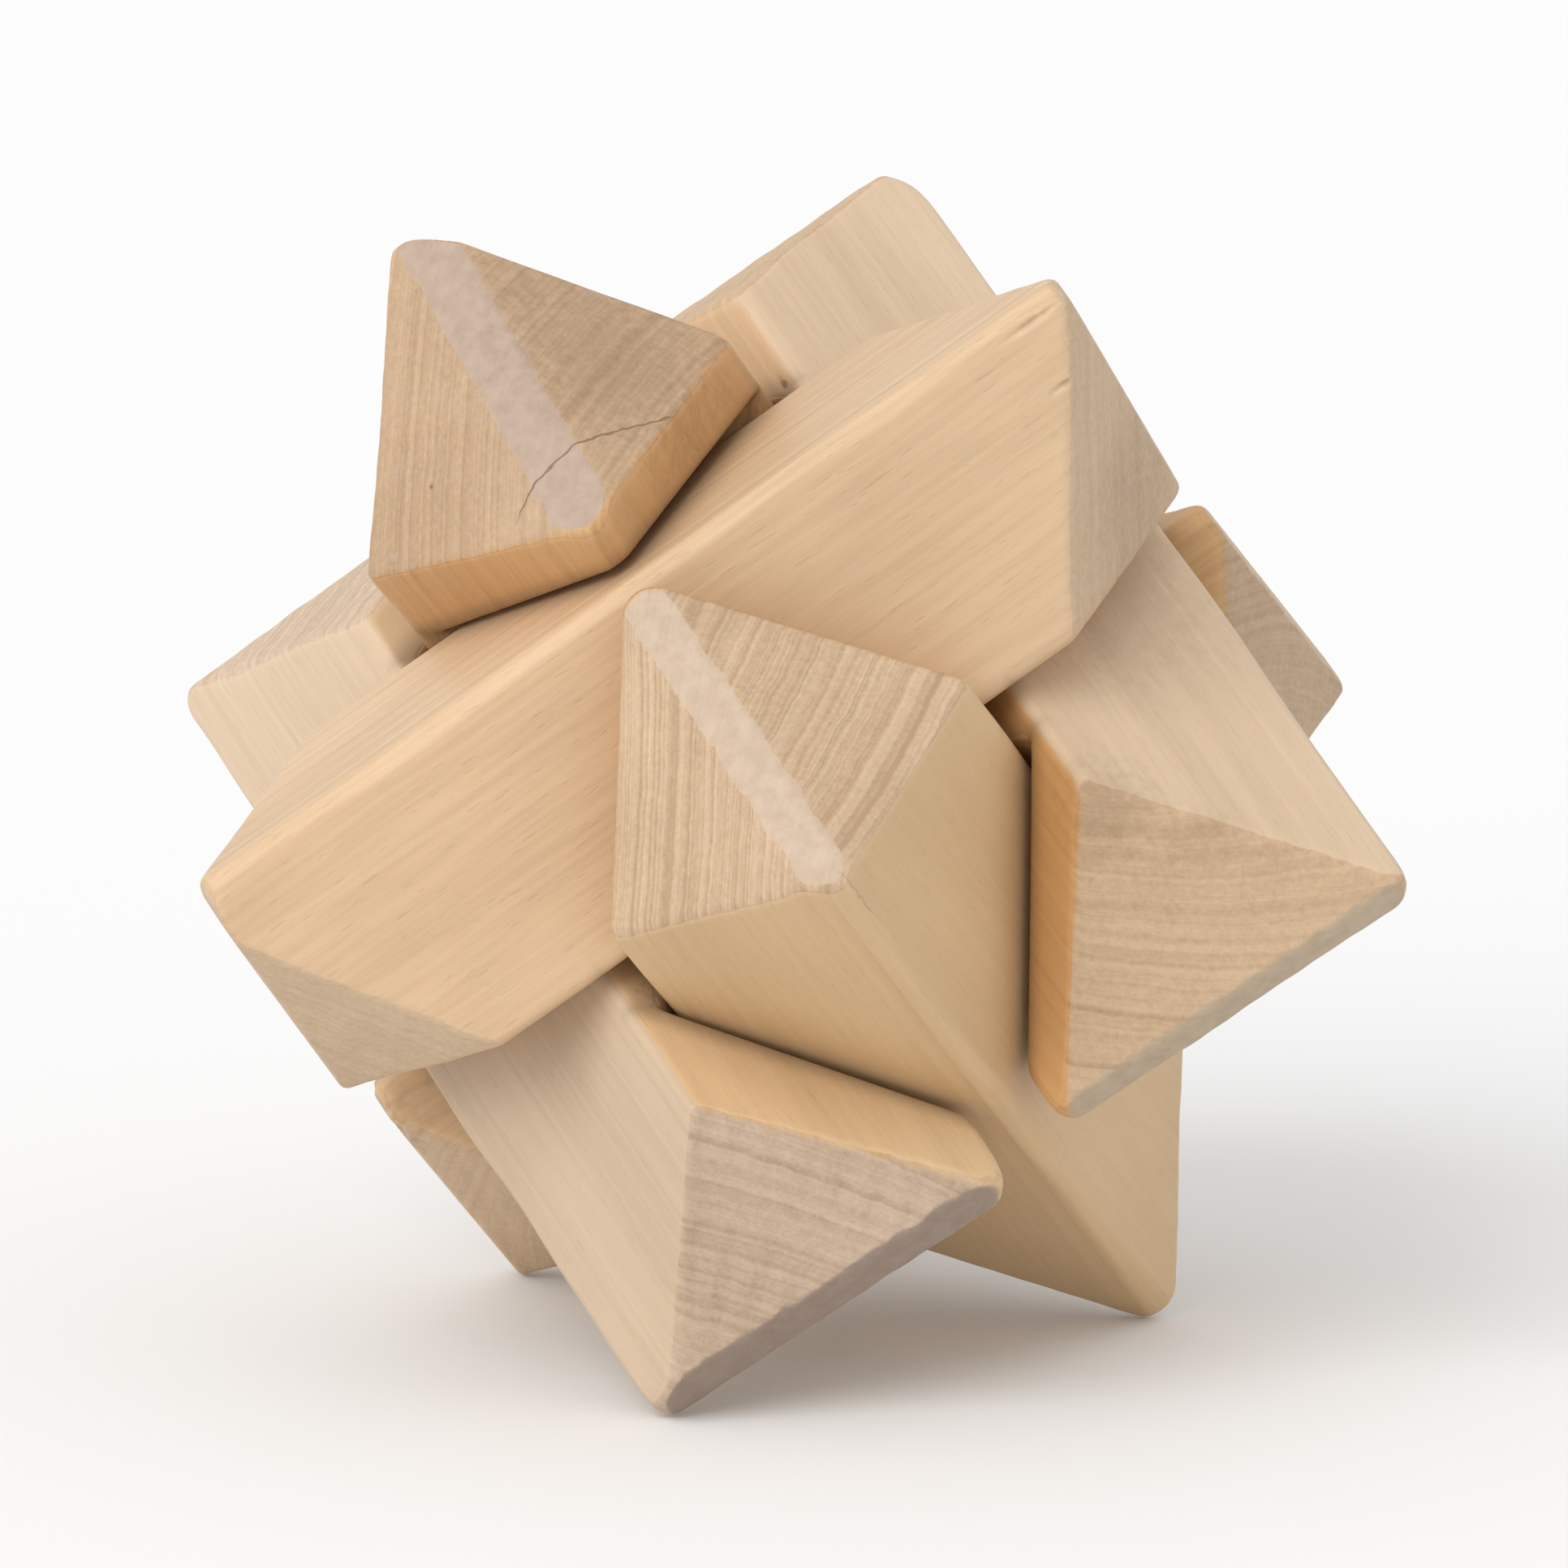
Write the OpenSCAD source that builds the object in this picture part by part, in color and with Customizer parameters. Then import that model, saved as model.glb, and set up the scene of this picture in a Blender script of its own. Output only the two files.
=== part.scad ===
// Six-piece star puzzle.
// Six alike wooden sticks, a pair along each axis of a cube, lock together in
// V-notches sawn across their inner edges. A stick is square and set on edge,
// and each end is sawn to a roof whose ridge is cut flat. The star stands on
// three tips, with one diagonal of the cube upright and the front towards -Y.

/* [Stick] */
// Side of the square stick
stick_side = 18; // [15:0.5:20]
// Length of a stick, from end flat to end flat
stick_length = 60; // [58:1:80]
// Radius sanded on the long edges
edge_radius = 1.2; // [0.4:0.1:2.5]
// Width of the flat left along the ridge of each end
flat_width = 2.8; // [1.4:0.1:5]

/* [Fit] */
// Middle of the star to a stick's centre line, as a share of the half-diagonal
offset_ratio = 1.13; // [1.02:0.01:1.25]
// Gap between the faces of a notch and the stick that lies in it
notch_gap = 0.3; // [0.1:0.05:0.5]

/* [Hidden] */

$fn = 64;

// Half the diagonal of the stick's section, measured to the unrounded edge
half_diagonal = stick_side / sqrt(2);
// Distance from the star's middle to each stick's centre line
stick_offset = offset_ratio * half_diagonal;
// Side of the square that the roof slopes of both ends lie on
roof_side = (stick_length + flat_width) / sqrt(2);
// Side of the square notch, which leaves the gap on both faces
notch_side = stick_side + 2 * notch_gap;
// Length of a cutter that passes right through a stick
cutter_length = 2 * (stick_offset + half_diagonal) + 10;
// Tilt that brings the cube's diagonal upright
diagonal_tilt = atan(sqrt(2));
// Height of the star's middle above the three tips that it stands on
rest_height = (stick_offset + half_diagonal + stick_length / 2) / sqrt(3);
// A third of a turn about this line swaps the three axes of the cube
swap_line = [1, 1, 1];

// Square with its four corners rounded
module rounded_square(side, radius) {
    inner = side - 2 * radius;
    square([side, inner], center = true);
    square([inner, side], center = true);
    for (x = [-0.5, 0.5], y = [-0.5, 0.5])
        translate([x * inner, y * inner])
            circle(r = radius);
}

// Square bar on edge along Z, with an edge facing the star's middle
module bar()
    translate([stick_offset, 0, 0])
        linear_extrude(height = stick_length, center = true)
            rotate(45)
                rounded_square(stick_side, edge_radius);

// Space inside the four roof slopes, two at each end
module roof_space()
    rotate([45, 0, 0])
        cube([cutter_length, roof_side, roof_side], center = true);

// Two V-notches, where the sticks along Y pass
module notches()
    for (end = [-1, 1])
        translate([0, 0, end * stick_offset])
            rotate([0, 45, 0])
                cube([notch_side, cutter_length, notch_side], center = true);

// One stick in the cube's frame: along Z, with its centre line on the +X side
module stick()
    difference() {
        intersection() {
            bar();
            roof_space();
        }
        notches();
    }

// The stick on the other side of the middle, along the same axis
module far_stick()
    rotate([0, 0, 180])
        stick();

// Stands the cube's frame on its diagonal, with the lowest tips at Z = 0
module stand()
    translate([0, 0, rest_height])
        rotate([diagonal_tilt, 0, 0])
            rotate([0, 0, -45])
                children();

module lower_left_stick()
    color("#E4C59C")
        stand()
            rotate(a = 120, v = swap_line)
                far_stick();

module lower_right_stick()
    color("#DDB98F")
        stand()
            stick();

module lower_back_stick()
    color("#E0BF95")
        stand()
            rotate(a = -120, v = swap_line)
                far_stick();

module upper_left_stick()
    color("#E8CDAA")
        stand()
            far_stick();

module upper_right_stick()
    color("#E6C8A2")
        stand()
            rotate(a = 120, v = swap_line)
                stick();

module upper_front_stick()
    color("#EAD0B0")
        stand()
            rotate(a = -120, v = swap_line)
                stick();

lower_left_stick();
lower_right_stick();
lower_back_stick();
upper_left_stick();
upper_right_stick();
upper_front_stick();
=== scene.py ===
import math
from dataclasses import dataclass, field

import bpy
import numpy as np
from mathutils import Matrix, Vector


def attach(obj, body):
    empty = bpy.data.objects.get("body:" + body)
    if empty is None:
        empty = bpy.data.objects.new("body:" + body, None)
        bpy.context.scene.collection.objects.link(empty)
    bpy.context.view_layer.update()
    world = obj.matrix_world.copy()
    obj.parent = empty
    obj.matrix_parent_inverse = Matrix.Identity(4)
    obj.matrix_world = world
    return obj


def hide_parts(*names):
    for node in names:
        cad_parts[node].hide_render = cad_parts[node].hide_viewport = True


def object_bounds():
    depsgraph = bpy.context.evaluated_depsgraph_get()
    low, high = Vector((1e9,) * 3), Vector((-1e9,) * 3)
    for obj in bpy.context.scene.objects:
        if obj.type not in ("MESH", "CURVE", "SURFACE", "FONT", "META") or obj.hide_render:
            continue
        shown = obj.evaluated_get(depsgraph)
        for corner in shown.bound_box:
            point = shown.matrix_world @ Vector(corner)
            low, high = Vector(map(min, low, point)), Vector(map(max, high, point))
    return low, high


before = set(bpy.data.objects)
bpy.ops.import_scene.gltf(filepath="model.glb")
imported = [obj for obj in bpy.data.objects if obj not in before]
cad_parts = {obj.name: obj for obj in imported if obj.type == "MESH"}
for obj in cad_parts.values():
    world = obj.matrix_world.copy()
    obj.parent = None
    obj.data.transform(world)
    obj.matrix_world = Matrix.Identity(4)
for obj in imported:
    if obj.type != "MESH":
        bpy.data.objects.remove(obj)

# The six sticks of the star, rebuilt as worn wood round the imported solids. A
# stick has its own frame in millimetres: x points outwards from the stick's
# centre line, away from the star's middle, s is sideways, and u runs along it.
# Each stick's surface is where a distance field is 0. The field starts from
# the solid's own flat faces, then rounds, tilts, ripples and chips them. The
# far end and the far notch are the ones at positive u.

CAD_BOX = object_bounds()
MM = 0.001
ROOT2 = math.sqrt(2)

# ----------------------------------------------------------------- the wear

LONG_EDGE = 0.95  # reach of the rounding on the four long edges
END_EDGE = 0.55  # where a slope of an end meets a long face
FLAT_EDGE = 0.3  # where a slope meets the end's flat
TIP = 1.8  # usual reach where a long edge meets the flat
NOTCH_EDGE = 0.35  # round the mouth of a notch
NOTCH_ROOT = 0.25  # at the bottom of a notch
CHIP_EDGE = 0.12  # round a chip

WEAR_WAVE = 14  # between heavier and lighter wear
LONG_WEAR = 0.2  # share of the long edges' rounding that comes and goes
END_WEAR = 0.3  # share of the ends' rounding that comes and goes
FACE_WAVE, FACE_RIPPLE = 22, 0.03  # length and height of the long faces' waves
SAW_WAVE, SAW_RIPPLE = 2.8, 0.04  # of the sawn faces' waves

WORN_REACH = 1.9  # from the plain solid, where the worn surface may be
SLOPE_ROOM = 2  # that the plain solid leaves for slopes cut further out
NET_ROOM = (1, 1, 2)  # between a stick and the sides of its net, along x, s and u
SURFACE_STEP = 0.28  # cell of the net that a stick's surface is found on
KEPT_SHARE = 0.3  # of the net's faces, after the plain stretches are thinned

# --------------------------------------------------------------- the sticks


@dataclass
class End:
    """How an end was cut: a flat across the stick, and a slope down each side."""

    reach: float = 0.0  # the flat's place, beyond the solid's
    lean: float = 0.0  # degrees: the flat reaches further on the outer side
    twist: float = 0.0  # degrees: the flat's turn about the stick
    flat: tuple = (1.3, 1.3)  # the flat's width on the -s and the +s side
    corner: tuple = (19.6, 19.6)  # how far along each slope meets the side edge
    tip: float = TIP  # reach of the rounding of its tips


@dataclass
class Chip:
    """A small scoop out of the surface."""

    at: tuple  # x, s, u
    size: tuple  # half-sizes


@dataclass
class Crack:
    """A dark hairline in the plane of the fibre, which shows on an end."""

    start: tuple  # x, s
    end: tuple  # x, s
    beyond: float  # the u where it begins
    depth: float = 0.8  # how dark it is


@dataclass
class Spot:
    """A stain, a knot or a scratch, and in one place a painted shadow."""

    at: tuple  # x, s, u
    size: tuple  # half-sizes
    depth: float  # how dark it is


@dataclass
class Spec:
    """Where one stick lies, and how its ends, notches, wood, wear and painted shade differ."""

    along: int  # the cube axis that the stick runs along
    out: int  # the cube axis that it is offset along
    side: int  # which side of the middle it is on
    far: End
    near: End
    gap: tuple  # round the far and the near notch
    wedge: tuple  # how much each gap grows over 10 mm of s
    face: tuple  # colour of the long faces
    cut: tuple  # colour of the sawn slopes
    tip: tuple  # colour of the flats
    inner: tuple  # colour of the faces that look inwards, on the far half: the wood with painted shade and warm reflected light from the gaps between sticks
    pith: tuple  # where the growth rings centre, in (x, s)
    ring: float  # between rings
    line: float  # share of a ring that its dark line takes
    drift: float  # how far the rings stray from circles
    figure: float  # how plainly the grain shows on the sawn slopes
    dark_line: float  # how plainly the rings' dark lines show there
    streak: float  # how plainly the grain shows on the long faces
    fade: float = 0.0  # how much darker the far half is
    chips: list = field(default_factory=list)
    cracks: list = field(default_factory=list)
    spots: list = field(default_factory=list)


STICKS = {
    "lower_left_stick": Spec(
        along=0, out=1, side=-1,
        far=End(reach=0.65, lean=-1.6, twist=1.0, flat=(2.0, 1.0), corner=(21.4, 19.6), tip=2.3),
        near=End(reach=-1.0, twist=-1.0, flat=(1.2, 1.2), corner=(19.0, 19.4)),
        gap=(0.55, 0.4), wedge=(0.25, 0.0),
        # Its flats' dark grey colour is painted shade, matched to the flat that faces down, and
        # worn by both flats.
        face=(0.615, 0.475, 0.335), cut=(0.625, 0.48, 0.36), tip=(0.31, 0.24, 0.195),
        inner=(0.69, 0.50, 0.30),
        pith=(50, 39), ring=2.2, line=0.6, drift=0.8,
        # Its far half is darker by fade: painted shade under the upper front stick's end.
        figure=0.6, dark_line=0.25, streak=0.5, fade=0.12,
        spots=[Spot((-2.5, -11.5, 14.0), (2.2, 1.6, 2.4), 0.75)],
    ),
    "lower_right_stick": Spec(
        along=2, out=0, side=1,
        far=End(twist=0.6, flat=(1.3, 1.2), corner=(20.1, 20.3)),
        near=End(reach=0.25, lean=1.0, twist=-0.8),
        gap=(0.3, 0.4), wedge=(0.0, 0.0),
        face=(0.61, 0.43, 0.245), cut=(0.61, 0.45, 0.305), tip=(0.54, 0.42, 0.32),
        inner=(0.58, 0.35, 0.16),
        pith=(-60, -62), ring=1.5, line=0.7, drift=0.7,
        figure=0.9, dark_line=0.3, streak=0.45,
        cracks=[Crack((12.9, 0.9), (11.0, 0.4), 25.2, 0.35)],
    ),
    "lower_back_stick": Spec(
        along=1, out=2, side=-1,
        far=End(reach=-0.2, lean=2.0, twist=-1.5, flat=(1.2, 1.3)),
        near=End(reach=0.2, twist=1.0, flat=(1.5, 1.3)),
        gap=(0.35, 0.4), wedge=(0.0, 0.0),
        # face is set lighter and fade darkens the far half back, so the near end's lighter tone is
        # painted light reflected from below.
        face=(0.66, 0.49, 0.33), cut=(0.60, 0.44, 0.295), tip=(0.58, 0.44, 0.31),
        inner=(0.56, 0.355, 0.17),
        pith=(20, -60), ring=2.1, line=0.5, drift=2.0,
        figure=0.45, dark_line=0.15, streak=0.8, fade=0.17,
        chips=[
            Chip((-11.4, 1.4, -30.5), (1.2, 0.7, 0.8)),
            Chip((-9.6, -1.5, -30.5), (1.1, 0.8, 0.7)),
            Chip((-7.6, 1.7, -30.5), (1.4, 0.6, 0.6)),
            Chip((-12.9, -0.5, -27.0), (0.7, 0.8, 1.6)),
        ],
        spots=[
            Spot((-9.5, 0.0, -29.5), (3.5, 3.0, 2.6), 0.3),
            Spot((-11.5, -0.8, -26.0), (0.8, 0.5, 2.6), 0.35),
        ],
    ),
    "upper_left_stick": Spec(
        along=2, out=0, side=-1,
        far=End(twist=3.8, flat=(2.4, 0.8), corner=(19.8, 21.3)),
        near=End(twist=-1.0, flat=(1.4, 1.2)),
        gap=(0.6, 0.4), wedge=(-0.3, 0.0),
        face=(0.57, 0.415, 0.26), cut=(0.52, 0.365, 0.235), tip=(0.44, 0.335, 0.265),
        inner=(0.60, 0.37, 0.18),
        pith=(-58, -56), ring=0.8, line=0.6, drift=1.2,
        figure=0.62, dark_line=0.22, streak=0.8,
        cracks=[Crack((-5.3, -7.4), (-7.6, 3.8), 15, 0.7)],
        spots=[
            Spot((-0.48, 6.37, 26.3), (0.25, 0.25, 2.0), 0.8),
            Spot((0.0, -6.0, 25.0), (11.0, 8.0, 11.0), 0.26),
            Spot((-5.0, 3.2, 27.0), (1.4, 0.5, 2.0), 0.3),
        ],
    ),
    "upper_right_stick": Spec(
        along=0, out=1, side=1,
        far=End(reach=-0.2, lean=1.2, twist=0.8, flat=(1.15, 1.15), corner=(19.6, 19.3)),
        near=End(reach=0.3, twist=1.0, flat=(1.3, 1.3), corner=(20.5, 21.3), tip=3.8),
        gap=(0.6, 0.4), wedge=(0.0, 0.0),
        face=(0.615, 0.465, 0.32), cut=(0.555, 0.40, 0.26), tip=(0.45, 0.36, 0.26),
        inner=(0.585, 0.335, 0.14),
        pith=(30, 57), ring=2.6, line=0.12, drift=2.2,
        figure=0.45, dark_line=0.5, streak=0.6,
        spots=[
            Spot((0.6, 11.6, 21.5), (5.0, 4.0, 5.0), 0.2),
            Spot((4.2, 8.2, 25.0), (4.0, 2.6, 3.6), 0.14),
            # A painted shadow: the shade that the upper front stick's end casts on this stick's
            # upper face.
            Spot((7.0, 6.0, 5.0), (9.0, 9.0, 10.5), 0.12),
            Spot((-0.9, 11.8, -15.0), (0.6, 0.6, 0.7), 0.85),
        ],
    ),
    "upper_front_stick": Spec(
        along=1, out=2, side=1,
        far=End(reach=-0.7, lean=2.2, twist=0.8, flat=(1.2, 1.15), corner=(19.5, 19.3)),
        near=End(reach=0.7, lean=-2.0, twist=-1.2, flat=(1.0, 2.7), corner=(19.8, 20.8)),
        gap=(0.4, 0.4), wedge=(0.0, 0.0),
        face=(0.655, 0.468, 0.295), cut=(0.58, 0.435, 0.295), tip=(0.55, 0.42, 0.30),
        inner=(0.60, 0.37, 0.18),
        pith=(52, 54), ring=2.3, line=0.4, drift=2.5,
        figure=0.3, dark_line=0.1, streak=1.0, fade=0.08,
        chips=[
            Chip((14.0, 0.0, 28.6), (2.0, 2.5, 4.0)),
            Chip((12.0, 0.85, 27.1), (0.3, 0.2, 1.9)),
            Chip((9.1, 3.75, 26.6), (0.22, 0.22, 1.0)),
        ],
        spots=[
            Spot((9.05, 3.7, 26.6), (0.25, 0.25, 1.1), 0.8),
            Spot((12.0, 0.85, 27.3), (0.3, 0.3, 1.7), 0.4),
            Spot((-5.0, 6.0, 26.5), (9.0, 7.0, 7.0), 0.14),
        ],
    ),
}


def cube_axes():
    """The cube's axes in the row frame, as columns. Its (-1, 1, 1) diagonal is upright."""
    tilt = Matrix.Rotation(math.atan(ROOT2), 3, "X")
    turn = Matrix.Rotation(-math.pi / 4, 3, "Z")
    return np.array(tilt @ turn)


def ripple(points, seed, wavelength, waves=7):
    """Smooth noise of about -1 to 1: a few sine waves in random directions."""
    random = np.random.default_rng(seed)
    total = np.zeros(len(points))
    for _ in range(waves):
        direction = random.normal(size=3)
        direction *= random.uniform(0.6, 1.5) / np.linalg.norm(direction)
        phase = random.uniform(0, 2 * math.pi)
        total += np.sin(points @ (2 * math.pi / wavelength * direction) + phase)
    return total / math.sqrt(waves)


def round_max(a, b, reach):
    """The greater of two distances, with the edge where they meet rounded over reach."""
    overlap = np.maximum(reach - np.abs(a - b), 0)
    return np.maximum(a, b) + overlap**2 / (4 * reach)


class Stick:
    """A stick's frame, measured from its CAD node, and its worn surface's distance field."""

    def __init__(self, node, seed, spec):
        self.node = node
        self.seed = seed
        self.spec = spec
        cube = cube_axes()
        out = spec.side * cube[:, spec.out]
        along = cube[:, spec.along]
        self.axes = np.array([out, np.cross(along, out), along])
        middle = np.array((CAD_BOX[0] + CAD_BOX[1]) / 2)
        corners = np.array([v.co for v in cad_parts[node].data.vertices])
        w, s, u = ((corners - middle) @ self.axes.T / MM).T
        across = (w + s) / ROOT2
        self.half_length = (u.max() - u.min()) / 2
        self.half_side = (across.max() - across.min()) / 2
        self.half_diagonal = self.half_side * ROOT2
        self.offset = (across.max() + across.min()) / ROOT2
        self.origin = middle + self.offset * MM * out

    def to_row(self, points):
        """(x, s, u) in millimetres to the row frame in metres."""
        return points @ self.axes * MM + self.origin

    def bar(self, x, s, wear):
        """The four long faces and their rounded edges."""
        reach = LONG_EDGE * (1 + LONG_WEAR * wear)
        outer = round_max((x + s) / ROOT2, (x - s) / ROOT2, reach)
        inner = round_max((s - x) / ROOT2, (-x - s) / ROOT2, reach)
        return round_max(outer, inner, reach) - self.half_side

    def slope(self, height, s, flat, corner):
        """The sawn slope from the edge of the flat down to the stick's side edge."""
        run = self.half_diagonal - flat
        drop = self.half_length - corner
        return (height * run + (s - flat) * drop) / math.hypot(run, drop)

    def end(self, x, s, u, end, waver):
        """The flat and the two slopes of one end, and its worn tips. u is measured towards it."""
        height = u - self.half_length - end.reach - math.tan(math.radians(end.lean)) * x
        s = s + math.tan(math.radians(end.twist)) * x
        left = self.slope(height, -s, end.flat[0], end.corner[0])
        right = self.slope(height, s, end.flat[1], end.corner[1])
        slopes = round_max(left, right, FLAT_EDGE) + SAW_RIPPLE * waver
        tips = round_max(np.abs(x) - self.half_diagonal + LONG_EDGE / 4, height, end.tip)
        return round_max(slopes, tips, FLAT_EDGE)

    def notch(self, x, s, u, sign):
        """The space of the stick that lies across this one, with the gap round it."""
        which = 0 if sign > 0 else 1
        gap = self.spec.gap[which] + self.spec.wedge[which] * s / 10
        beside = np.sqrt((u - sign * self.offset) ** 2 + NOTCH_ROOT**2)
        return (x + self.offset + beside) / ROOT2 - self.half_side - gap

    def plain(self, points):
        """Roughly how far outside the wood each point is, with sharp edges and no wear."""
        x, s, u = np.abs(points).T
        bar = (x + s) / ROOT2 - self.half_side
        ends = (u + s - self.half_length - SLOPE_ROOM) / ROOT2
        notches = [-self.notch(*points.T, sign) for sign in (1, -1)]
        return np.maximum.reduce([bar, ends, u - self.half_length, *notches])

    def distance(self, points):
        """How far outside the wood each point is, in millimetres."""
        x, s, u = points.T
        wear = ripple(points, self.seed, WEAR_WAVE)
        waver = ripple(points, self.seed + 50, SAW_WAVE, waves=5)
        solid = self.bar(x, s, wear)
        solid = solid + FACE_RIPPLE * ripple(points, self.seed + 20, FACE_WAVE)
        for sign, end in ((1, self.spec.far), (-1, self.spec.near)):
            cut = self.end(x, s, sign * u, end, waver)
            solid = round_max(solid, cut, END_EDGE * (1 + END_WEAR * wear))
        for sign in (1, -1):
            solid = round_max(solid, -self.notch(x, s, u, sign), NOTCH_EDGE)
        for chip in self.spec.chips:
            away = np.linalg.norm((points - chip.at) / chip.size, axis=1)
            solid = round_max(solid, (1 - away) * min(chip.size), CHIP_EDGE)
        return solid

    def worn(self, points):
        """The plain distance, with the worn surface's own distance near it."""
        values = self.plain(points)
        near = np.abs(values) < WORN_REACH
        values[near] = self.distance(points[near])
        return values

    def gradient(self, points):
        """The distance field's gradient at each point."""
        step = 0.02  # millimetres
        rises = []
        for way in step * np.eye(3):
            rises.append(self.distance(points + way) - self.distance(points - way))
        return np.stack(rises, axis=1) / (2 * step)

    def settled(self, points):
        """The points moved onto the surface."""
        for _ in range(3):
            gradient = self.gradient(points)
            steepness = (gradient**2).sum(axis=1)
            points = points - (self.distance(points) / steepness)[:, None] * gradient
        return points


# ------------------------------------------------------------ surface meshes


def surface_net(field_at, low, high, step):
    """The surface where the field is 0: a point in each cell that it crosses, and quads."""
    counts = np.ceil((high - low) / step).astype(int) + 1
    ticks = [low[i] + step * np.arange(counts[i]) for i in range(3)]
    grid = np.stack(np.meshgrid(*ticks, indexing="ij"), axis=-1).reshape(-1, 3)
    values = field_at(grid).reshape(counts)
    inside = values < 0
    crossings, cells, quads = [], [], []
    for axis in range(3):
        unit = np.eye(3, dtype=int)[axis]
        second, third = np.eye(3, dtype=int)[[(axis + 1) % 3, (axis + 2) % 3]]
        at = np.argwhere(inside != np.roll(inside, -1, axis=axis))
        at = at[at[:, axis] < counts[axis] - 1]
        here, there = values[tuple(at.T)], values[tuple((at + unit).T)]
        share = (here / (here - there))[:, None]
        crossings.append(np.tile(low + step * (at + share * unit), (4, 1)))
        sharing = [at, at - second, at - second - third, at - third]
        ids = [np.ravel_multi_index(tuple(c.T), counts) for c in sharing]
        cells.append(np.concatenate(ids))
        ring = np.stack(ids, axis=1)
        quads.append(np.where((here < 0)[:, None], ring, ring[:, ::-1]))
    crossings, cells, quads = map(np.concatenate, (crossings, cells, quads))
    used, cells = np.unique(cells, return_inverse=True)
    number = np.bincount(cells)
    points = np.stack([np.bincount(cells, crossings[:, i]) for i in range(3)], axis=1)
    return points / number[:, None], np.searchsorted(used, quads)


def thinned(mesh):
    """The mesh with its plain stretches in fewer, larger faces."""
    scratch = bpy.data.objects.new("scratch", mesh)
    bpy.context.scene.collection.objects.link(scratch)
    scratch.modifiers.new("thin", "DECIMATE").ratio = KEPT_SHARE
    graph = bpy.context.evaluated_depsgraph_get()
    result = bpy.data.meshes.new_from_object(scratch.evaluated_get(graph), depsgraph=graph)
    bpy.data.objects.remove(scratch)
    return result


def add_vectors(mesh, name, vectors):
    """Keeps a vector at each vertex, for the material to read."""
    layer = mesh.attributes.new(name, "FLOAT_VECTOR", "POINT")
    layer.data.foreach_set("vector", vectors.ravel())


def make_stick(node, seed, spec):
    """The worn stick that stands for a CAD node, riding on its body."""
    stick = Stick(node, seed, spec)
    high = np.array([stick.half_diagonal, stick.half_diagonal, stick.half_length]) + NET_ROOM
    points, quads = surface_net(stick.worn, -high, high, SURFACE_STEP)
    mesh = bpy.data.meshes.new(node)
    mesh.from_pydata(stick.settled(points), [], quads)
    mesh = thinned(mesh)
    points = np.empty(len(mesh.vertices) * 3)
    mesh.vertices.foreach_get("co", points)
    points = stick.settled(points.reshape(-1, 3))
    normals = stick.gradient(points)
    normals /= np.linalg.norm(normals, axis=1)[:, None]
    mesh.vertices.foreach_set("co", stick.to_row(points).ravel())
    add_vectors(mesh, "grain", points)
    add_vectors(mesh, "facing", normals)
    mesh.shade_smooth()
    mesh.normals_split_custom_set_from_vertices(normals @ stick.axes)
    mesh.materials.append(Wood(stick).material)
    piece = bpy.data.objects.new(node.replace("_stick", "_wood"), mesh)
    bpy.context.scene.collection.objects.link(piece)
    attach(piece, node.replace("_stick", ""))
    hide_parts(node)


# ----------------------------------------------------------------- materials

# How far a face turns towards the end of its stick, from 0 to 1
SAWN_TURN = (0.28, 0.42)  # from a long face to a sawn slope
FLAT_TURN = (0.83, 0.93)  # from a slope to the flat
TURN_BLUR = 0.035  # how far those borders stray

INWARD_TURN = (-0.6, -0.15)  # from a face that looks at the star's middle to one that doesn't
NEAR_TINT = (1.0, 0.93, 0.82)  # of the faces that look inwards, on the near half: a warm tint of painted reflected light
HALVES_MEET = 4  # millimetres of u, either side of 0, where the two halves' colours blend

NOISE_RANGE = (0.3, 0.7)  # that most of a noise's values lie in
OWN_STEP = (17.0, -11.0, 29.0)  # from one stick's noise to the next one's

# Noises drawn out along the fibre: by how much, then scale, detail and roughness
DRIFT = (0.2, 0.05, 2, 0.45)  # the rings' slow bends
QUIVER = (0.3, 0.6, 1, 0.5)  # their small ones
FIBRE = (0.045, 2.2, 3, 0.62)
FINE = (0.12, 7.0, 2, 0.6)  # the finest fibre
PATCH = (0.3, 0.08, 2, 0.5)  # broad changes of tone
PORE = (0.14, 4.2, 1, 0.5)
FUZZ = (0.7, 3.4, 4, 0.7)  # on the sawn ends

# Other noises: scale, detail and roughness
BANDS = (1.3, 3, 0.7)  # along the rings' radius
THREADS = (4.5, 2, 0.6)  # along it too, but finer
BORDER = (1.1, 2, 0.6)  # where the faces' colours meet
SMEAR = (0.9, 3, 0.55)  # on the flats
WANDER = (1.3, 2, 0.5)  # in the outlines of marks

QUIVER_REACH = 0.25  # millimetres
CONE = 0.02  # how fast the rings narrow along the stick
LINE_PEAK, LINE_STOP = 0.94, 0.95  # of a ring: its line is darkest, and starts to end
PORE_EDGE = (0.67, 0.74)  # of the pore noise
MOUTH_FADE = (0.6, 2.8)  # millimetres outside a notch, where its darkness goes
CRACK_EDGE = (0.03, 0.12)  # millimetres from a crack's middle
CRACK_WANDER = 0.07  # millimetres
SPOT_EDGE = (0.2, 1.0)  # of a spot's half-size
SPOT_WANDER = 0.2  # of a spot's half-size
SUNK_MARKS = (0.25, 0.9)  # how dark a mark is when it starts to sink, and is at its deepest

PLAIN_SHADE = (1.16, 1.16, 1.16, 1)  # of the wood's colour, where no grain shows
GRAIN_SHADE = (0.72, 0.66, 0.58, 1)  # where the grain is darkest
# Of cracks, stains and knots, and of the painted shade and shadow.
MARK_AND_SHADE_COLOUR = (0.15, 0.085, 0.045, 1)
BLACK = (0, 0, 0, 1)


def colour(rgb):
    return (*map(float, rgb), 1.0)


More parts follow.
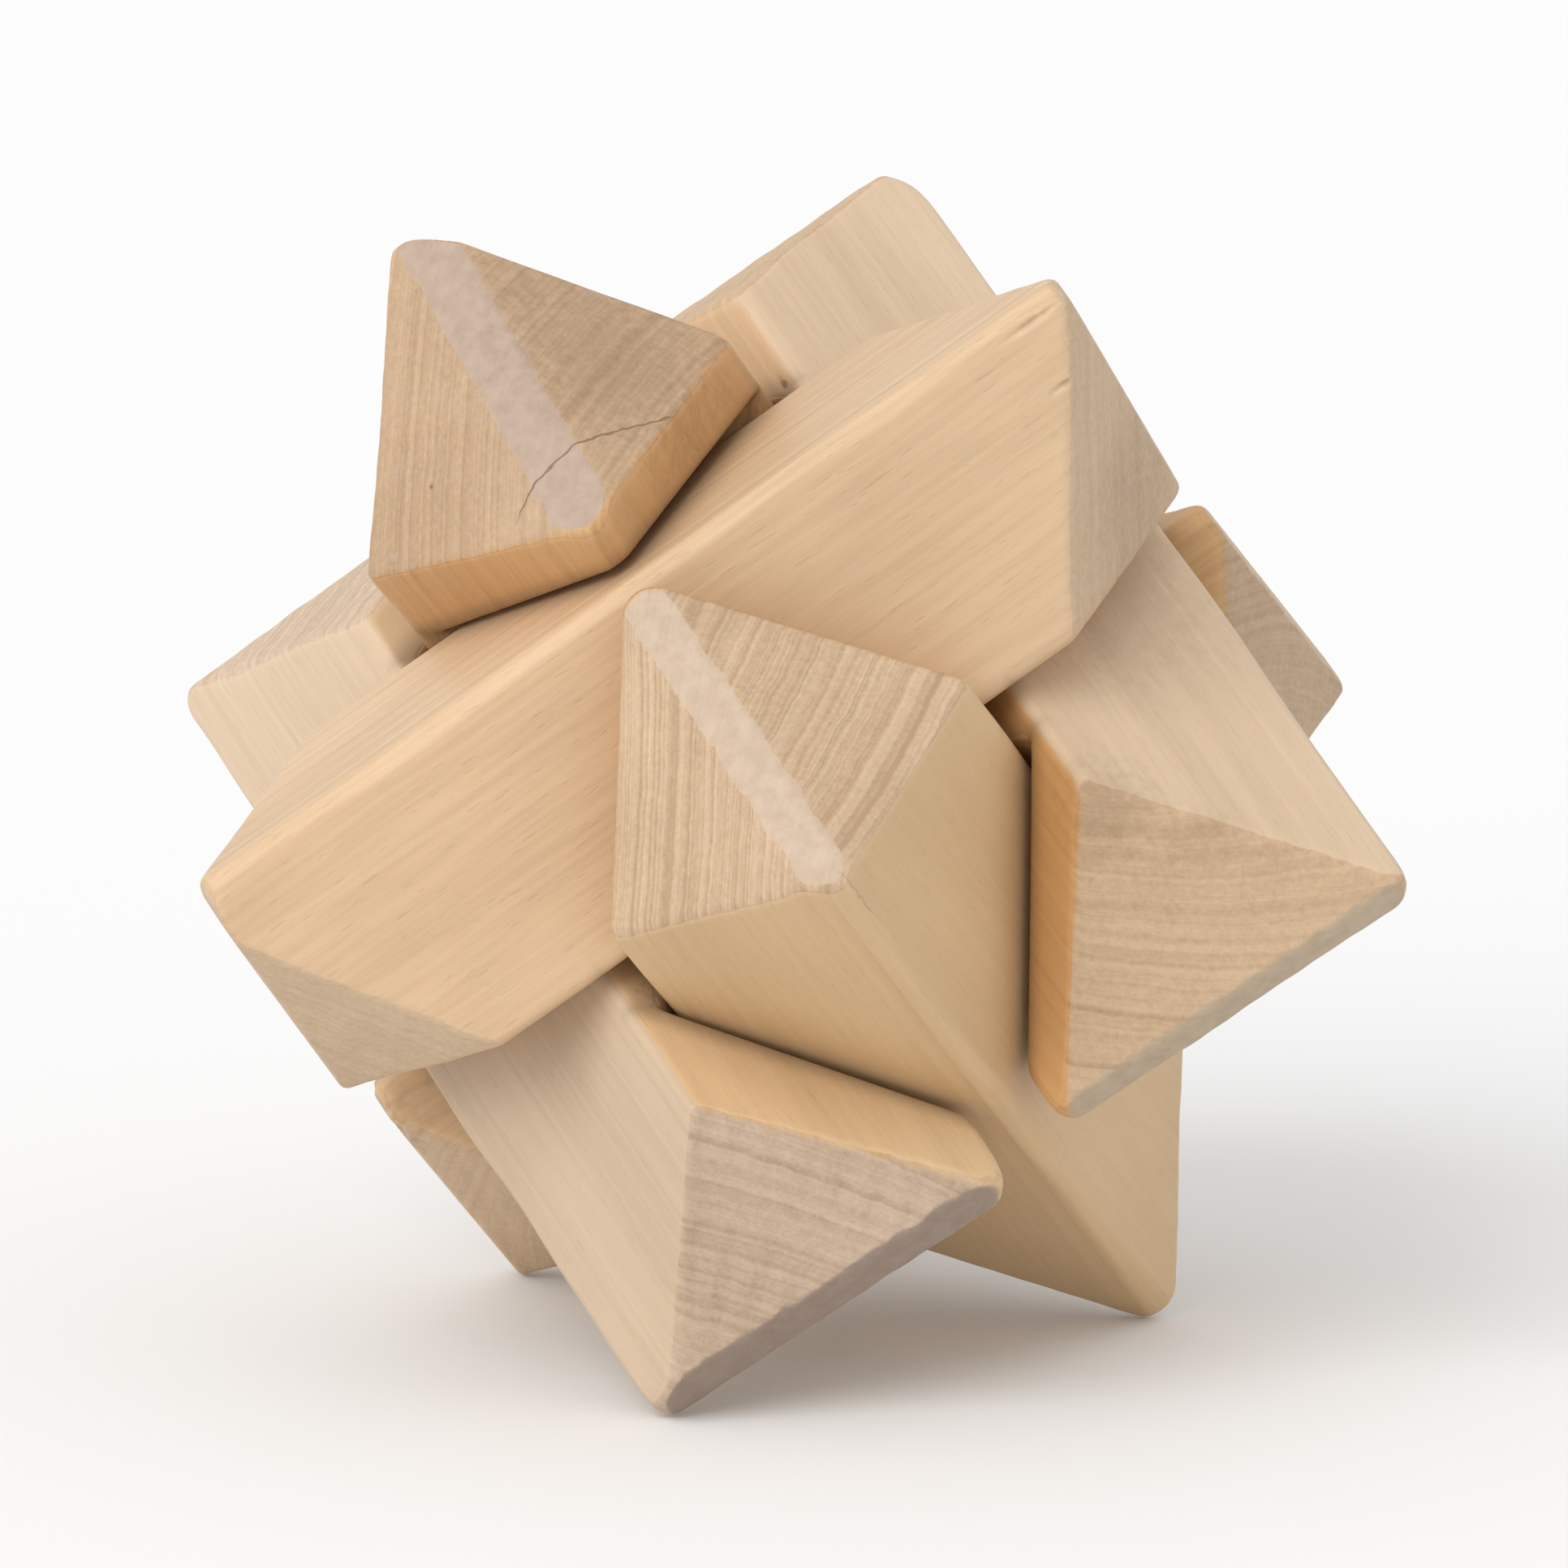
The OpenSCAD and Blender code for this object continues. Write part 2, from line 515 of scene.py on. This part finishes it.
class Tree:
    """Short ways to add nodes. A value is a number, a tuple or another node's output."""

    def __init__(self, name):
        self.material = bpy.data.materials.new(name)
        self.material.use_nodes = True
        self.nodes = self.material.node_tree.nodes
        self.links = self.material.node_tree.links
        self.shader = self.nodes["Principled BSDF"]

    def node(self, kind, inputs, output=0, **settings):
        """A new node's output, with its inputs set by name or place."""
        node = self.nodes.new(kind)
        for key, value in settings.items():
            setattr(node, key, value)
        for key, value in inputs.items():
            self.feed(node.inputs[key], value)
        return node.outputs[output]

    def feed(self, socket, value):
        """Links the socket to an output, or sets it to a number or a tuple."""
        if isinstance(value, bpy.types.NodeSocket):
            self.links.new(value, socket)
        else:
            socket.default_value = value

    def calculate(self, operation, *values):
        return self.node("ShaderNodeMath", dict(enumerate(values)), operation=operation)

    def times(self, a, b):
        return self.calculate("MULTIPLY", a, b)

    def combined(self, operation, values):
        """One value from several, taken two at a time."""
        result = values[0]
        for value in values[1:]:
            result = self.calculate(operation, result, value)
        return result

    def total(self, *values):
        return self.combined("ADD", values)

    def vector(self, operation, *values):
        return self.node("ShaderNodeVectorMath", dict(enumerate(values)), operation=operation)

    def length(self, vector):
        return self.node("ShaderNodeVectorMath", {0: vector}, 1, operation="LENGTH")

    def dot(self, vector, other):
        inputs = {0: vector, 1: other}
        return self.node("ShaderNodeVectorMath", inputs, 1, operation="DOT_PRODUCT")

    def noise(self, place, scale, detail, roughness, output=0):
        inputs = {"Vector": place, "Scale": scale, "Detail": detail, "Roughness": roughness}
        return self.node("ShaderNodeTexNoise", inputs, output)

    def noise_along(self, value, scale, detail, roughness):
        """Noise that changes with one value only."""
        inputs = {"W": value, "Scale": scale, "Detail": detail, "Roughness": roughness}
        return self.node("ShaderNodeTexNoise", inputs, noise_dimensions="1D")

    def ramp(self, value, low, high, to_low=0.0, to_high=1.0):
        """value between low and high, carried smoothly to between to_low and to_high."""
        inputs = {0: value, 1: low, 2: high, 3: to_low, 4: to_high}
        return self.node("ShaderNodeMapRange", inputs, interpolation_type="SMOOTHSTEP")

    def swing(self, noise, to_low=0.0, to_high=1.0):
        """A noise, spread to between to_low and to_high."""
        return self.ramp(noise, *NOISE_RANGE, to_low, to_high)

    def mix(self, share, a, b, blend="MIX"):
        inputs = {0: share, 6: a, 7: b}
        return self.node("ShaderNodeMix", inputs, 2, data_type="RGBA", blend_type=blend)


class Wood(Tree):
    """Bare sanded wood: rings round a pith off to one side, fibres along u, rough sawn ends, and
    painted shade and reflected light on some faces.
    """

    def __init__(self, stick):
        super().__init__(stick.node)
        self.stick = stick
        self.spec = stick.spec
        self.place = self.node("ShaderNodeAttribute", {}, 1, attribute_name="grain")
        shift = tuple(stick.seed * step for step in OWN_STEP)
        self.own = self.vector("ADD", self.place, shift)
        self.x = self.dot(self.place, (1, 0, 0))
        self.u = self.dot(self.place, (0, 0, 1))
        self.find_faces()
        self.find_grain()
        self.marks_and_shade = self.find_marks_and_shade()
        shade = self.mix(self.darkness(), PLAIN_SHADE, GRAIN_SHADE)
        grained = self.mix(1.0, self.ground(), shade, "MULTIPLY")
        self.feed(self.shader.inputs["Base Color"], self.mix(self.marks_and_shade, grained, MARK_AND_SHADE_COLOUR))
        self.finish_surface()

    def find_faces(self):
        """1 on the sawn ends, on their flats, and on the faces that look inwards."""
        facing = self.node("ShaderNodeAttribute", {}, 1, attribute_name="facing")
        turn = self.calculate("ABSOLUTE", self.dot(facing, (0, 0, 1)))
        blur = self.swing(self.noise(self.own, *BORDER), -TURN_BLUR, TURN_BLUR)
        turn = self.total(turn, blur)
        self.sawn = self.ramp(turn, *SAWN_TURN)
        self.flat = self.ramp(turn, *FLAT_TURN)
        self.inner = self.ramp(self.dot(facing, (1, 0, 0)), *INWARD_TURN, 1.0, 0.0)

    def by_face(self, long, sawn):
        """One value on the long faces and another on the sawn ends."""
        return self.ramp(self.sawn, 0.0, 1.0, long, sawn)

    def fibrous(self, along, scale, detail, roughness, output=0):
        """Noise that is drawn out along the stick. The smaller along is, the longer it gets."""
        place = self.vector("MULTIPLY", self.own, (1, 1, along))
        return self.noise(place, scale, detail, roughness, output)

    def strayed(self, noise, by):
        """A step across the stick, from a colour noise."""
        centred = self.vector("SUBTRACT", noise, (0.5, 0.5, 0.5))
        return self.vector("MULTIPLY", centred, (by, by, 0))

    def find_grain(self):
        """The rings' dark lines, and the bands, fibres, pores, patches and fuzz."""
        drift = self.strayed(self.fibrous(*DRIFT, output=1), self.spec.drift)
        quiver = self.strayed(self.fibrous(*QUIVER, output=1), QUIVER_REACH)
        from_pith = self.vector("SUBTRACT", self.place, (*self.spec.pith, 0))
        from_pith = self.vector("ADD", from_pith, self.vector("ADD", drift, quiver))
        radius = self.length(self.vector("MULTIPLY", from_pith, (1, 1, CONE)))
        self.line = self.ring_lines(self.calculate("DIVIDE", radius, self.spec.ring))
        self.bands = self.noise_along(radius, *BANDS)
        self.threads = self.noise_along(radius, *THREADS)
        self.fibre = self.fibrous(*FIBRE)
        self.fine = self.fibrous(*FINE)
        self.patch = self.fibrous(*PATCH)
        self.pore = self.ramp(self.fibrous(*PORE), *PORE_EDGE)
        self.fuzz = self.fibrous(*FUZZ)

    def ring_lines(self, rings):
        """A line that darkens slowly to the end of each ring. Some are fainter than others."""
        phase = self.calculate("FRACT", rings)
        rise = self.ramp(phase, LINE_PEAK - self.spec.line, LINE_PEAK)
        line = self.times(rise, self.ramp(phase, LINE_STOP, 1.0, 1.0, 0.0))
        number = self.calculate("FLOOR", rings)
        each = self.node("ShaderNodeTexWhiteNoise", {"W": number}, noise_dimensions="1D")
        return self.times(line, self.ramp(each, 0.0, 1.0, 0.1, 1.0))

    def darkness(self):
        """How dark the grain makes each point, from 0 to 1."""
        streak, figure = self.spec.streak, self.spec.figure
        bands = self.ramp(self.bands, 0.32, 0.66)
        fibre = self.ramp(self.fibre, 0.3, 0.75, 0.0, 0.26)
        grain = self.total(
            self.times(self.line, self.by_face(0.2 * streak, self.spec.dark_line)),
            self.times(bands, self.by_face(0.2 * streak, 0.44 * figure)),
            self.times(self.swing(self.threads), self.by_face(0.04, 0.26 * figure)),
            self.times(fibre, self.by_face(streak, 0.8)),
            self.swing(self.patch, 0.0, 0.26),
            self.times(self.pore, self.by_face(0.18 * streak, 0.06)),
            self.times(self.sawn, self.swing(self.fuzz, -0.06, 0.14)),
        )
        grain = self.times(grain, self.ramp(self.flat, 0, 1, 1, 0.2))
        smeared = self.swing(self.noise(self.own, *SMEAR), 0.08, 0.34)
        return self.node("ShaderNodeClamp", {0: self.total(grain, self.times(smeared, self.flat))})

    def ground(self):
        """The wood's colour without its grain, with painted shade and warm reflected light on the
        faces that look inwards, and the far half darkened by fade.
        """
        spec = self.spec
        far = self.ramp(self.u, -HALVES_MEET, HALVES_MEET)
        ground = self.mix(self.sawn, colour(spec.face), colour(spec.cut))
        # fade darkens the far half: on the lower left stick it is painted shade, and on the lower
        # back stick it leaves painted reflected light on the near half.
        ground = self.mix(self.times(far, spec.fade), ground, BLACK)
        ground = self.mix(self.flat, ground, colour(spec.tip))
        near_inner = np.array(spec.face) * NEAR_TINT
        # The faces that look inwards take the inner colours: painted shade and warm reflected light
        # of the gaps.
        return self.mix(self.inner, ground, self.mix(far, colour(near_inner), colour(spec.inner)))

    def notch_mouth(self):
        """Darker on a notch's faces, and a little way outside it: partly dirt, partly painted shade
        of the joint.
        """
        offset, half_diagonal = self.stick.offset, self.stick.half_diagonal
        beside = self.calculate("ABSOLUTE", self.u)
        beside = self.calculate("ABSOLUTE", self.calculate("SUBTRACT", beside, offset))
        height = self.total(self.x, self.total(beside, offset))
        start, stop = MOUTH_FADE
        mouth = self.ramp(height, half_diagonal + start, half_diagonal + stop, 1.0, 0.0)
        return self.times(mouth, self.by_face(0.5, 0.2))

    def crack(self, crack, wander):
        """A wavering hairline that fades in at its start and out at its end."""
        start, end = Vector(crack.start), Vector(crack.end)
        way = (end - start).normalized()
        length = (end - start).length
        from_start = self.vector("SUBTRACT", self.place, (*start, 0))
        run = self.dot(from_start, (*way, 0))
        beside = self.dot(from_start, (way.y, -way.x, 0))
        beside = self.total(beside, self.swing(wander, -CRACK_WANDER, CRACK_WANDER))
        dark = self.ramp(self.calculate("ABSOLUTE", beside), *CRACK_EDGE, crack.depth, 0.0)
        ends = self.times(self.ramp(run, -0.3, 0.5), self.ramp(run, length - 1.5, length, 1.0, 0.0))
        inside = self.times(ends, self.ramp(self.u, crack.beyond - 1, crack.beyond + 1))
        return self.times(dark, inside)

    def spot(self, spot, wander):
        """A ragged ellipsoid that is darkest in its middle."""
        away = self.vector("DIVIDE", self.vector("SUBTRACT", self.place, spot.at), spot.size)
        ragged = self.total(self.length(away), self.swing(wander, -SPOT_WANDER, SPOT_WANDER))
        return self.ramp(ragged, *SPOT_EDGE, spot.depth, 0.0)

    def find_marks_and_shade(self):
        """How dark the cracks, stains, knots, painted shadow, and the notches' dirt and painted
        shade make each point, from 0 to 1.
        """
        wander = self.noise(self.own, *WANDER)
        marks_and_shade = [self.notch_mouth()]
        marks_and_shade += [self.crack(crack, wander) for crack in self.spec.cracks]
        marks_and_shade += [self.spot(spot, wander) for spot in self.spec.spots]
        return self.combined("MAXIMUM", marks_and_shade)

    def finish_surface(self):
        """Smooth long faces, rough sawn ends, and a little light that passes through."""
        uneven = self.swing(self.fine, -0.04, 0.06)
        inputs = self.shader.inputs
        self.feed(inputs["Roughness"], self.total(self.by_face(0.46, 0.7), uneven))
        inputs["Specular IOR Level"].default_value = 0.42
        inputs["Subsurface Weight"].default_value = 0.2
        inputs["Subsurface Radius"].default_value = (1.0, 0.4, 0.15)
        inputs["Subsurface Scale"].default_value = 1.2 * MM
        smooth = self.total(
            self.times(self.fibre, 0.25),
            self.times(self.fine, 0.25),
            self.times(self.pore, -0.4),
        )
        rough = self.total(
            self.times(self.fuzz, 1.5),
            self.times(self.bands, 0.35),
            self.times(self.line, -0.2),
        )
        sunk = self.ramp(self.marks_and_shade, *SUNK_MARKS, 0.0, -1.35)
        bump = self.nodes.new("ShaderNodeBump")
        bump.inputs["Strength"].default_value = 0.6
        bump.inputs["Distance"].default_value = 0.05 * MM
        self.feed(bump.inputs["Height"], self.total(smooth, self.times(rough, self.sawn), sunk))
        self.feed(inputs["Normal"], bump.outputs[0])


def floor_material():
    """Plain, pale and matt."""
    tree = Tree("floor")
    tree.shader.inputs["Base Color"].default_value = (0.86, 0.86, 0.86, 1)
    tree.shader.inputs["Roughness"].default_value = 0.9
    tree.shader.inputs["Specular IOR Level"].default_value = 0.1
    return tree.material


# --------------------------------------------------------------------- stage

FLOOR_RADIUS, FLOOR_SIDES = 6.0, 96
VIEW = (23.6, 11.1, 0.965)  # the camera's azimuth, elevation and distance
VIEW_ROLL = 0.5  # degrees
LENS = 380
KEY = (-13, 36, 1)  # the broad light's azimuth, elevation and distance
KEY_STRENGTH, KEY_SPREAD = 1.55, 45  # the spread in degrees
SKY_STRENGTH = 0.85


def make_floor():
    """A large round floor, so that its edge is far off in every view."""
    turns = [2 * math.pi * i / FLOOR_SIDES for i in range(FLOOR_SIDES)]
    rim = [(FLOOR_RADIUS * math.cos(a), FLOOR_RADIUS * math.sin(a), 0) for a in turns]
    mesh = bpy.data.meshes.new("floor")
    mesh.from_pydata(rim, [], [list(range(FLOOR_SIDES))])
    mesh.materials.append(floor_material())
    floor = bpy.data.objects.new("floor", mesh)
    bpy.context.scene.collection.objects.link(floor)


def aim(thing, target, roll=0.0):
    """Turns a camera or lamp to look at target."""
    look = (target - thing.location).to_track_quat("-Z", "Y")
    thing.rotation_mode = "QUATERNION"
    turn = Matrix.Rotation(math.radians(roll), 3, "Z").to_quaternion()
    thing.rotation_quaternion = look @ turn


def around(target, azimuth, elevation, distance):
    """The point at a distance from target. Azimuth 0 is in front, and 90 is on the right."""
    a, e = math.radians(azimuth), math.radians(elevation)
    way = Vector((math.sin(a) * math.cos(e), -math.cos(a) * math.cos(e), math.sin(e)))
    return target + distance * way


def make_camera(target):
    """The camera, at the picture's viewing angle, with the star filling the frame."""
    data = bpy.data.cameras.new("camera")
    data.lens = LENS
    data.clip_start = 0.01
    data.clip_end = 50
    camera = bpy.data.objects.new("camera", data)
    camera.location = around(target, *VIEW)
    aim(camera, target, VIEW_ROLL)
    bpy.context.scene.collection.objects.link(camera)
    bpy.context.scene.camera = camera


def make_light(target):
    """White light from all round, and a broad soft light from the front."""
    world = bpy.data.worlds.new("studio")
    world.use_nodes = True
    sky = world.node_tree.nodes["Background"]
    sky.inputs[0].default_value = (1.0, 1.0, 1.0, 1)
    sky.inputs[1].default_value = SKY_STRENGTH
    bpy.context.scene.world = world
    data = bpy.data.lights.new("key", "SUN")
    data.energy = KEY_STRENGTH
    data.angle = math.radians(KEY_SPREAD)
    key = bpy.data.objects.new("key", data)
    key.location = around(target, *KEY)
    aim(key, target)
    bpy.context.scene.collection.objects.link(key)


middle = (CAD_BOX[0] + CAD_BOX[1]) / 2
make_camera(middle)
make_light(middle)
make_floor()
for number, (node, spec) in enumerate(STICKS.items(), start=1):
    make_stick(node, number, spec)
bpy.context.scene.view_settings.view_transform = "Standard"
